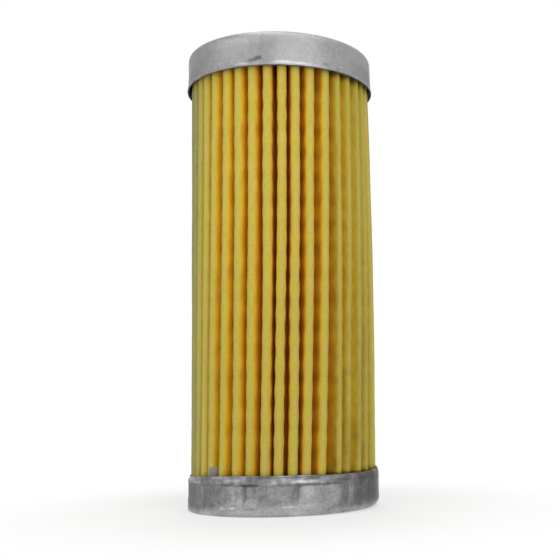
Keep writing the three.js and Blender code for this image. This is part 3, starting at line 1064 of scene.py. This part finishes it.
# %% Close the sheet at its edges
def edge_quads(outer_row, inner_row, upwards):
    """Quads from a row of the outer face to a row of the inner face."""
    outer = outer_row * stations + np.arange(stations)
    inner = inner_first + inner_row * stations + np.arange(stations)
    quads = np.stack([outer[:-1], outer[1:], inner[1:], inner[:-1]], axis=1)
    return quads if upwards else quads[:, ::-1]


def ply_triangles(station, flip):
    """Fans that join a column of the outer face to the same column of the inner face."""
    outer = np.arange(OUTER_ROWS) * stations + station
    inner = inner_first + np.arange(len(inner_heights)) * stations + station
    owner = np.repeat(inner[:-1], ROWS_PER_INNER)
    fans = np.stack([outer[:-1], outer[1:], owner], axis=1)
    steps = np.stack([outer[ROWS_PER_INNER::ROWS_PER_INNER], inner[1:], inner[:-1]], axis=1)
    triangles = np.concatenate([fans, steps])
    return triangles[:, ::-1] if flip else triangles


paper_faces = [
    outer_quads, inner_quads,
    edge_quads(OUTER_ROWS - 1, len(inner_heights) - 1, upwards=True),
    edge_quads(0, 0, upwards=False),
    ply_triangles(0, flip=False),
    ply_triangles(stations - 1, flip=True),
]
paper_points = np.concatenate([outer_face.reshape(-1, 3), inner_face.reshape(-1, 3)])
print("faces of the sheet:", sum(len(block) for block in paper_faces))

# %% [markdown]
# Stains and painted shade follow the photograph. Painted grazing sheen and shade grey the left side,
# the right one is browner and darker, and both thin out in the folds. The lower half is painted darker
# all round, as shade. Right of the front the flanks get painted shade just behind the crowns, painted
# shade lies in the hollows of the grooves, and painted shadow, with some dirt at the rim, lies where
# the paper meets the caps. Fuel stains lie at the lower right.

# %% Stains, dust and painted shade
PAPER_MARKS = (
    (0.0, 0.0, 400.0, 44.0, 0.14, 0.0),  # painted shade: browner and darker in the lower half, all round
    (-86.0, 42.0, 24.0, 80.0, -0.6, 0.0),  # painted grazing sheen and shade down the left side
    (-66.0, 4.0, 10.0, 22.0, -0.15, 0.0),  # thicker low down
    (-135.0, 42.0, 44.0, 80.0, -0.22, 0.0),  # thinner further round
    (-51.5, 7.7, 3.0, 0.9, -0.6, 0.0),  # dull film beside the smear of adhesive
    (54.0, 42.0, 24.0, 80.0, 0.16, 0.0),  # the right side is browner
    (94.0, 42.0, 20.0, 80.0, -0.4, 0.0),  # and painted grazing sheen and shade at its far edge
    (41.5, 12.6, 2.4, 3.0, 0.2, 0.0),  # fuel stains at the lower right
    (42.0, 9.0, 2.2, 1.2, 0.2, 0.0),
    (50.0, 13.6, 2.4, 2.0, 0.18, 0.0),
    (30.5, 8.2, 3.2, 1.2, 0.2, 0.0),
)
SHELTER = 0.6  # share of the marks that is missing in the folds
FLANK_PAINTED_SHADE = 0.4  # painted shade just behind the crowns, from 27 degrees right of the front and thinner from 36
GROOVE_PAINTED_SHADE = 0.27  # painted shade in the hollows of the grooves, deeper in the folds and mostly at the right
RIM_DIRT_AND_SHADE, LIP_PAINTED_SHADOW = 0.32, 0.12  # dirt and painted shade at the bottom rim, painted shadow under the lip
RIGHT_LIP_PAINTED_SHADOW, RIGHT_RIM_PAINTED_SHADE = 0.5, 0.7  # more painted shadow and shade at the right

depths = np.concatenate([outer_depth.ravel(), inner_depth.ravel()]).clip(0)
hollow = 0.5 - 0.5 * np.concatenate([outer_wave.ravel(), inner_wave.ravel()])
paper_angles = polar(paper_points)[0]
to_right = np.degrees(paper_angles) + 90 - TWIST * (paper_points[:, 2] - (RIM + LIP) / 2)
to_front = 1 - ease(to_right, 75, 110)
soiling_and_painted_shade = marked(paper_angles, paper_points[:, 2], PAPER_MARKS)[0]
soiling_and_painted_shade *= 1 - SHELTER * ease(depths, 0.5, 1.5)
behind_crown = ease(depths, 0.03, 0.25) * (1 - ease(depths, 0.35, 0.9))
flank_painted_shade = FLANK_PAINTED_SHADE * ease(to_right, 27, 31) * (1 - 0.45 * ease(to_right, 36, 42)) * to_front
soiling_and_painted_shade += flank_painted_shade * behind_crown
groove_painted_shade = GROOVE_PAINTED_SHADE * (0.3 + 0.3 * ease(to_right, -10, -4) + 0.4 * ease(to_right, 4, 12))
groove_painted_shade *= (1 - 0.5 * ease(to_right, 28, 40)) * to_front
soiling_and_painted_shade += groove_painted_shade * hollow * ease(depths, 0.3, 1.0)
over_rim = paper_points[:, 2] - (RIM - rim_fall(paper_angles))
over_lip = paper_points[:, 2] - (LIP_EDGE - LEAN * LIP_RADIUS * (1 + np.cos(paper_angles)))
# painted shade and some dirt above the bottom rim, painted shadow under the lip
soiling_and_painted_shade += RIM_DIRT_AND_SHADE * (1 - ease(over_rim, -0.1, 0.5)) + LIP_PAINTED_SHADOW * ease(over_lip, -0.5, 0.0)
right_cap_painted_shade = RIGHT_LIP_PAINTED_SHADOW * ease(over_lip, -0.9, -0.1) + RIGHT_RIM_PAINTED_SHADE * (1 - ease(over_rim, 0.1, 0.6))
soiling_and_painted_shade += right_cap_painted_shade * ease(to_right, 20, 34) * to_front
print(f"soiling from {soiling_and_painted_shade.min():.2f} to {soiling_and_painted_shade.max():.2f}")

# %% [markdown]
# Two more things colour the paper. At the sides, where the folds are seen edge on, they keep more of the
# outer colour. From 36 degrees right of the front light comes through the paper and gilds the folds.

# %% The paper with its colours
SIDE_PALING = 0.6
LIT_THROUGH = 0.85

lit_through = LIT_THROUGH * ease(depths, 0.35, 1.05) * ease(to_right, 35, 37) * to_front
depths *= 1 - SIDE_PALING * ease(np.abs(np.cos(paper_angles)), 0.62, 0.84)
make_piece(
    "pleated_paper", paper_points, paper_faces, paper_material, "filter_paper", "pleated_media",
    attributes={"fold_depth": depths, "soiling_and_painted_shade": soiling_and_painted_shade, "lit_through": lit_through},
)

# %% [markdown]
# ## The seam's glue
#
# At the back the strip's two end plies are stuck together. The glue shows as an amber line between
# the edges, and it was squeezed out a little more in some places than in others.

# %% The seam's glue
GLUE_THICKNESS, GLUE_LENGTH = 0.24, 4.2
GLUE_SQUEEZE = 0.12  # how far it was squeezed out, on average
GLUE_ROWS, GLUE_SIDES = 120, 16

glue_heights = np.linspace(paper_low[2], paper_high[2], GLUE_ROWS)
glue_sweep = np.linspace(0, TURN, GLUE_SIDES, endpoint=False)
squeeze = GLUE_SQUEEZE * (1 + ripple(0.0, glue_heights, 53, 1, 0.25))[:, None]
outer_end = PAPER_RADIUS - SEAM_SET_BACK - GLUE_THICKNESS / 2 + squeeze
inner_end = PAPER_RADIUS - SEAM_SET_BACK - GLUE_LENGTH + 0 * squeeze
reach = np.where(np.cos(glue_sweep) > 0, outer_end, inner_end)
glue_plan = in_plan(
    math.radians(SEAM_DIRECTION),
    reach + GLUE_THICKNESS / 2 * np.cos(glue_sweep),
    GLUE_THICKNESS / 2 * np.sin(glue_sweep) + 0 * reach,
)
glue_points = settle(glue_plan, glue_heights[:, None])
low_end = np.arange(GLUE_SIDES)[None, ::-1]
high_end = (GLUE_ROWS - 1) * GLUE_SIDES + np.arange(GLUE_SIDES)[None, :]
make_piece(
    "seam_glue_line", glue_points, [grid_quads(GLUE_ROWS, GLUE_SIDES), low_end, high_end],
    glue_material, "seam_glue", "seam_bond",
)

# %% [markdown]
# ## The centre tube
#
# The tube is tinplate punched with round holes, then rolled. The pattern repeats, so one flat cell is
# worked out first: a ring of points on the hole's edge is carried outwards to the cell's border. Rows
# are staggered by half a cell, and the borders have evenly spaced points, so neighbours always meet.

# %% One cell of the tube
HOLE_RADIUS, HOLE_ROWS, HOLES_ROUND = 1.6, 11, 6
TUBE_MARGIN = 10.0  # from each end to the middle of the nearest row of holes
SIDE_STEPS = 8  # points along each side of a cell
RING_SHARES = (0, 0.18, 0.5, 1)  # places of a cell's rings of points, from the hole's edge to the border

tube_bottom, tube_top = tube_low[2], tube_high[2]
cell_width = TURN * TUBE_RADIUS / HOLES_ROUND
row_pitch = (tube_top - tube_bottom - 2 * TUBE_MARGIN) / (HOLE_ROWS - 1)


def cell_border():
    """Points round a unit square about the origin, anticlockwise, evenly spaced along each side."""
    t = np.arange(SIDE_STEPS) / SIDE_STEPS - 0.5
    edge = np.full(SIDE_STEPS, 0.5)
    sides = [(edge, t), (-t, edge), (-edge, -t), (t, -edge)]
    return np.concatenate([np.stack(side, axis=1) for side in sides])


border = cell_border() * [cell_width, row_pitch]
hole = HOLE_RADIUS * border / np.linalg.norm(border, axis=1, keepdims=True)
cell = hole + np.array(RING_SHARES)[:, None, None] * (border - hole)
print(f"a cell is {cell_width:.1f} mm wide and {row_pitch:.1f} mm tall")

# %% [markdown]
# The cells fill the punched part, a plain band carries it on to each end, and the flat pattern is rolled
# up. One modifier then thickens the sheet inwards, and another breaks its edges.

# %% The centre tube
TUBE_WALL = 0.4
TUBE_EDGE = 0.05
BAND_ROWS = 6

row, place_in_row = np.meshgrid(np.arange(HOLE_ROWS), np.arange(HOLES_ROUND), indexing="ij")
centres = np.stack(
    [(place_in_row + (row % 2) / 2) * cell_width, tube_bottom + TUBE_MARGIN + row * row_pitch], axis=-1
)
cells = centres[:, :, None, None, :] + cell


def rolled(flat, radius):
    """Flat points (run, height) rolled onto a tube: the angle is the run over the radius."""
    return around_axis(radius, flat[..., 0] / radius, flat[..., 1])


def plain_band(low, high):
    """A band of the tube with no holes, with the cells' spacing round it."""
    run = np.arange(HOLES_ROUND * SIDE_STEPS) * cell_width / SIDE_STEPS + cell_width / 2
    run, height = np.meshgrid(run, np.linspace(low, high, BAND_ROWS))
    return np.stack([run, height], axis=-1)


first_row_bottom = tube_bottom + TUBE_MARGIN - row_pitch / 2
last_row_top = tube_top - TUBE_MARGIN + row_pitch / 2
bands = [plain_band(tube_bottom, first_row_bottom), plain_band(last_row_top, tube_top)]
points_per_cell = len(RING_SHARES) * len(border)
cell_quads = grid_quads(len(RING_SHARES), len(border))[:, ::-1]
cell_starts = np.arange(HOLE_ROWS * HOLES_ROUND) * points_per_cell
tube_faces = [(cell_quads[None] + cell_starts[:, None, None]).reshape(-1, 4)]
count = HOLE_ROWS * HOLES_ROUND * points_per_cell
for band in bands:
    tube_faces.append(grid_quads(*band.shape[:2], first=count))
    count += band.shape[0] * band.shape[1]
tube_flat = np.concatenate([cells.reshape(-1, 2), *[band.reshape(-1, 2) for band in bands]])
tube = make_piece(
    "perforated_tube", rolled(tube_flat, TUBE_RADIUS), tube_faces,
    tube_tinplate, "tube_tinplate", "centre_tube",
)
wall_modifier = tube.modifiers.new("wall", "SOLIDIFY")
wall_modifier.thickness = TUBE_WALL * MM
wall_modifier.offset = -1
edge_modifier = tube.modifiers.new("edges", "BEVEL")
edge_modifier.width = TUBE_EDGE * MM
edge_modifier.segments = 1
edge_modifier.harden_normals = True

# %% [markdown]
# ## The outlet grommet
#
# The grommet is moulded rubber: a flange that lies in the seat, a neck through the collar, and a bead
# that snaps under it. Moulded rubber has soft edges, a raised sealing ring on the flange and a funnel
# into the bore, so its outline is rounded at every corner before it is spun.

# %% The outlet grommet
BORE = 5.1  # its radius
FUNNEL_REACH, FUNNEL_DEPTH = 0.6, 0.7
FLANGE_THICKNESS = 1.0
RING_HEIGHT = 0.1  # of the sealing ring over the flange
GROMMET_COLUMNS = 192

flange_top, flange_bottom = grommet_high[2], grommet_high[2] - FLANGE_THICKNESS
flange_radius = grommet_high[0]
flange_face = flange_top - RING_HEIGHT
neck_radius = COLLAR_RADIUS - HALF_SHEET - 0.03
bead_radius = COLLAR_RADIUS + HALF_SHEET - 0.05
grommet_bottom = grommet_low[2]
grommet_corners = [
    (flange_radius, (flange_top + flange_bottom) / 2),
    (flange_radius, flange_face),
    (9.2, flange_face), (8.9, flange_top), (8.4, flange_top), (8.1, flange_face),
    (BORE + FUNNEL_REACH, flange_face),
    (BORE, flange_top - FUNNEL_DEPTH),
    (BORE, grommet_bottom),
    (neck_radius, grommet_bottom),
    (bead_radius, grommet_bottom + 0.45),
    (bead_radius, COLLAR_END - 0.08),
    (neck_radius, COLLAR_END - 0.08),
    (neck_radius, flange_bottom),
    (flange_radius, flange_bottom),
    (flange_radius, (flange_top + flange_bottom) / 2),
]
grommet_reaches = [0.3, 0.12, 0.12, 0.12, 0.12, 0.3, 0.3, 0.3, 0.3, 0.2, 0.2, 0.2, 0.2, 0.3]
grommet_outline = respaced(rounded_line(grommet_corners, grommet_reaches), 0.16)[:-1]
grommet_points = lean(revolve(grommet_outline, GROMMET_COLUMNS))
make_piece(
    "rubber_grommet", grommet_points,
    [grid_quads(*grommet_points.shape[:2], loop_rows=True)], rubber_material, "rubber", "outlet_grommet",
)

# %% [markdown]
# ## Potting
#
# The two rings of adhesive lie hidden inside the caps, and their frame nodes are already the right
# shape, so these only get the adhesive's material.

# %% Potting
for name in ("top_potting", "bottom_potting"):
    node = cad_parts[name]
    node.data.materials.clear()
    node.data.materials.append(potting_material)
    print(name, "is made of", potting_material.name)

# %% [markdown]
# One smear of it shows in the photograph, where it was pushed up between two pleats over the bottom
# rim. Its face stands on the paper, so the tip of that pleat is measured first. It is an arc in plan, and
# its middle, radius and direction are taken at each height.

# %% Under the smear
SMEAR_PLEAT = FIRST_SEEN + 2
SMEAR_LOW, SMEAR_HIGH = RIM - 1.4, RIM + 1.25
SMEAR_ROWS, SMEAR_COLUMNS = 40, 56

smear_heights = np.linspace(SMEAR_LOW, SMEAR_HIGH, SMEAR_ROWS)
per_pleat = (FOLD_STEPS + 1) + 2 * len(FLANK_SHARES) + (TIP_STEPS + 1)
arc_start = 1 + 2 * len(FLANK_SHARES) + (FOLD_STEPS + 1) + (SMEAR_PLEAT - 1) * per_pleat
arc = paper_face(smear_heights, 1)[0][:, arc_start : arc_start + TIP_STEPS + 1, :2]
arc_radius = np.linalg.norm(arc[:, -1] - arc[:, 0], axis=-1)[:, None] / 2
arc_direction, arc_reach = (part[:, None] for part in polar((arc[:, 0] + arc[:, -1]) / 2))
print(f"the pleat under the smear stands {math.degrees(arc_direction[0, 0]) + 90:.1f} degrees to the right")

# %% [markdown]
# The smear's front is a soft hump: a thin film over the pleat's tip, and a fillet that fills the gap to
# the next pleat. Both sink towards the crest, where the smear runs out on the paper. Film and fillet meet
# in b ln(exp(film / b) + exp(fillet / b)), which follows the further one and is rounded over about b
# where they cross. The adhesive is thin enough at its edges to let the paper's colour through.

# %% The smear's face
SMEAR_LEFT, SMEAR_RIGHT = -1.9, 6.4  # degrees from the pleat's direction
SMEAR_FILM, SMEAR_FILL = 0.12, 0.35  # film over the tip, and depth of the fillet's face behind the tips
SMEAR_BLEND = 0.12

off = np.linspace(SMEAR_LEFT, SMEAR_RIGHT, SMEAR_COLUMNS)[None, :]
upwards = (smear_heights[:, None] - RIM) / (SMEAR_HIGH - RIM)
crest = 0.05 + 0.9 * ease(off, SMEAR_LEFT, 2.4) - 0.45 * ease(off, 2.6, 5.6)
body = np.clip(1 - (upwards.clip(0) / crest) ** 2, -0.6, 1)  # 1 at the rim, 0 at the crest
beyond = body.clip(max=0)  # over the crest the face sinks into the paper
fullness = np.sqrt(body.clip(0))
to_side = arc_reach * np.sin(np.radians(off))
tip_face = arc_reach + np.sqrt((arc_radius**2 - to_side**2).clip(0)) - 4 * (to_side - arc_radius).clip(0)
thinning = 0.1 * (ease(off, SMEAR_LEFT, 0.6) - 1)
film = tip_face + SMEAR_FILM * fullness + 0.15 * beyond + thinning
fillet = PAPER_RADIUS - SMEAR_FILL - 0.9 * (1 - fullness) + 2.5 * beyond - 0.8 * ease(off, 3.4, 6.0)
thinness = 1 - ease(body, 0.0, 0.7) * ease(off, SMEAR_LEFT, 1.2)
front_radius = SMEAR_BLEND * np.logaddexp(film / SMEAR_BLEND, fillet / SMEAR_BLEND)
print(f"the smear's face lies {front_radius.min():.1f} to {front_radius.max():.1f} mm from the axis")

# %% [markdown]
# Its back is the same face set in by a fixed thickness, which is hidden in the paper, and a strip of
# quads round the edge closes it.

# %% The smear
SMEAR_THICKNESS = 0.9

smear_angle = arc_direction + np.radians(off)
smear_points = np.stack([
    around_axis(front_radius, smear_angle, smear_heights[:, None]),
    around_axis(front_radius - SMEAR_THICKNESS, smear_angle, smear_heights[:, None]),
])
point_count = SMEAR_ROWS * SMEAR_COLUMNS
numbers = np.arange(point_count).reshape(SMEAR_ROWS, SMEAR_COLUMNS)
edge = np.concatenate([numbers[0, :-1], numbers[:-1, -1], numbers[-1, :0:-1], numbers[:0:-1, 0]])
next_edge = np.roll(edge, -1)
front_quads = grid_quads(SMEAR_ROWS, SMEAR_COLUMNS, loop_columns=False)
back_quads = front_quads[:, ::-1] + point_count
edge_ring = np.stack([edge, edge + point_count, next_edge + point_count, next_edge], axis=1)
make_piece(
    "potting_smear", smear_points, [front_quads, back_quads, edge_ring], smear_material, "potting",
    attributes={"thinness": np.stack([thinness, thinness])},
)

# %% [markdown]
# ## Floor and light
#
# The photograph's background is plain white. The world is white wherever the camera or a reflection
# looks, and a dim grey room for all other light.


# %% The room
def straight_rays(tree):
    """1 for rays that come straight from the camera, from a mirror or through glass."""
    path = add(tree, "ShaderNodeLightPath")
    seen = maths(tree, "MAXIMUM", path.outputs["Is Camera Ray"], path.outputs["Is Glossy Ray"])
    return maths(tree, "MAXIMUM", seen, path.outputs["Is Transmission Ray"])


ROOM_LIGHT = 0.3

world = bpy.data.worlds.new("room")
world.use_nodes = True
bpy.context.scene.world = world
tree = world.node_tree
background = tree.nodes["Background"]
room = mixed(tree, straight_rays(tree), (ROOM_LIGHT, ROOM_LIGHT, ROOM_LIGHT, 1), (1, 1, 1, 1))
tree.links.new(room, background.inputs["Color"])
print("the room gives", ROOM_LIGHT, "of white from all round")

# %% [markdown]
# The floor takes the element's soft shadow close by, paled by half, and turns to plain white further
# out.

# %% The floor
FLOOR_REACH = 2000.0
SHADOW_REACH = (24.0, 60.0)  # from the axis: shadow kept up to the first, plain white from the second
SHADOW_PALING = 0.5

floor_mesh = bpy.data.meshes.new("floor")
square = np.array([[-1, -1, 0], [1, -1, 0], [1, 1, 0], [-1, 1, 0]]) * FLOOR_REACH * MM
floor_mesh.from_pydata(square.tolist(), [], [(0, 1, 2, 3)])
floor = bpy.data.objects.new("floor", floor_mesh)
bpy.context.scene.collection.objects.link(floor)
floor_material, tree, shader, place = start_material("white_floor")
shader.inputs["Base Color"].default_value = (0.9, 0.9, 0.9, 1)
shader.inputs["Roughness"].default_value = 1.0
shader.inputs["Specular IOR Level"].default_value = 0.0
distance = add(tree, "ShaderNodeVectorMath", {"operation": "LENGTH"}, Vector=place).outputs["Value"]
far = spread(tree, distance, SHADOW_REACH[0] * MM, SHADOW_REACH[1] * MM)
kept = maths(tree, "ADD", SHADOW_PALING, maths(tree, "MULTIPLY", far, 1 - SHADOW_PALING))
share = maths(tree, "MULTIPLY", kept, straight_rays(tree))
glow = add(tree, "ShaderNodeEmission", Strength=1.0)
blend = add(tree, "ShaderNodeMixShader", Fac=share)
tree.links.new(shader.outputs[0], blend.inputs[1])
tree.links.new(glow.outputs[0], blend.inputs[2])
output = next(n for n in tree.nodes if n.type == "OUTPUT_MATERIAL")
tree.links.new(blend.outputs[0], output.inputs["Surface"])
floor_mesh.materials.append(floor_material)
print("floor material:", floor_material.name)

# %% [markdown]
# The lamps are five broad softboxes. Two in front reach into the pleats, one on the left fills their
# shaded sides, one overhead catches the caps' shoulders, and the one at the back keeps that side from
# going dark.

# %% The lamps
LAMP_DISTANCE, LAMP_WIDTH = 0.5, 0.35  # in metres


def softbox(name, azimuth, elevation, watts):
    """A square area lamp that faces the middle of the element from a direction in degrees.

    Azimuth 0 is in front and grows to the right. At distance d, a white surface that faces a lamp of
    P watts gets P / (pi d)^2 brighter, where 1 is white."""
    lamp = bpy.data.lights.new(name, "AREA")
    lamp.size = LAMP_WIDTH
    lamp.energy = watts
    holder = bpy.data.objects.new(name, lamp)
    a, e = math.radians(azimuth), math.radians(elevation)
    aim = np.array([math.sin(a) * math.cos(e), -math.cos(a) * math.cos(e), math.sin(e)])
    side = np.array([math.cos(a), math.sin(a), 0.0])
    place = np.eye(4)
    place[:3, :3] = np.stack([side, np.cross(aim, side), aim], axis=1)
    place[:3, 3] = aim * LAMP_DISTANCE + [0, 0, TOP / 2 * MM]
    holder.matrix_world = Matrix(place.tolist())
    bpy.context.scene.collection.objects.link(holder)


softbox("overhead_softbox", azimuth=0, elevation=82, watts=0.9)
softbox("key_softbox", azimuth=20, elevation=45, watts=0.62)
softbox("front_softbox", azimuth=18, elevation=5, watts=0.72)
softbox("left_softbox", azimuth=-55, elevation=12, watts=0.5)
softbox("back_softbox", azimuth=180, elevation=30, watts=1.0)
lamps = [thing.name for thing in bpy.context.scene.objects if thing.type == "LIGHT"]
print("lamps:", ", ".join(lamps))

# %% [markdown]
# ## Picture settings
#
# The Standard view shows a colour as it is written.

# %% Picture settings
bpy.context.scene.view_settings.view_transform = "Standard"
